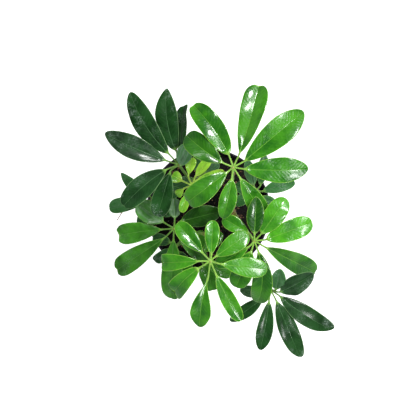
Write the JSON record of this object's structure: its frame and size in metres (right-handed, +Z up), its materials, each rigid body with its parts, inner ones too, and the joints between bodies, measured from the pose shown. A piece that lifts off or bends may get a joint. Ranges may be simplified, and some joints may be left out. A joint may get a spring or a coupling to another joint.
{
  "type": "potted umbrella plant",
  "caption": "Umbrella plant with palmate leaves on woody stems, standing in soil in a round tapered nursery pot.",
  "frame": {"origin": "centre of the pot's underside, on the plane that it stands on", "axes": "+Z up along the pot's axis; +Y towards the top and +X towards the right of the picture, which looks straight down"},
  "size_m": [0.2564, 0.2985, 0.3238],
  "materials": {
    "pot_plastic": "black injection-moulded plastic with a satin sheen",
    "potting_soil": null,
    "bark": "tan bark with raised leaf scars",
    "leaf_bright": "glossy vivid green leaf with a pale midrib; leather stands in for leaf",
    "leaf_middle": "satin mid-green leaf; leather stands in for leaf",
    "leaf_dark": "dusty dark blue-green leaf with a pale margin; leather stands in for leaf",
    "leaf_young": "fresh yellow-green young leaf; leather stands in for leaf"
  },
  "bodies": {
    "root": {"pot": "pot_plastic", "soil": "potting_soil", "stem_1": "bark", "leaf_1_1": "leaf_young", "leaf_1_2": "leaf_dark", "leaf_1_3": "leaf_dark", "leaf_1_4": "leaf_dark", "stem_2": "bark", "leaf_2_1": "leaf_bright", "leaf_2_2": "leaf_bright", "leaf_2_3": "leaf_dark", "stem_3": "bark", "leaf_3_1": "leaf_bright", "leaf_3_2": "leaf_middle", "leaf_3_3": "leaf_dark", "leaf_3_4": "leaf_dark", "leaf_3_5": "leaf_dark"}
  },
  "joints": []
}
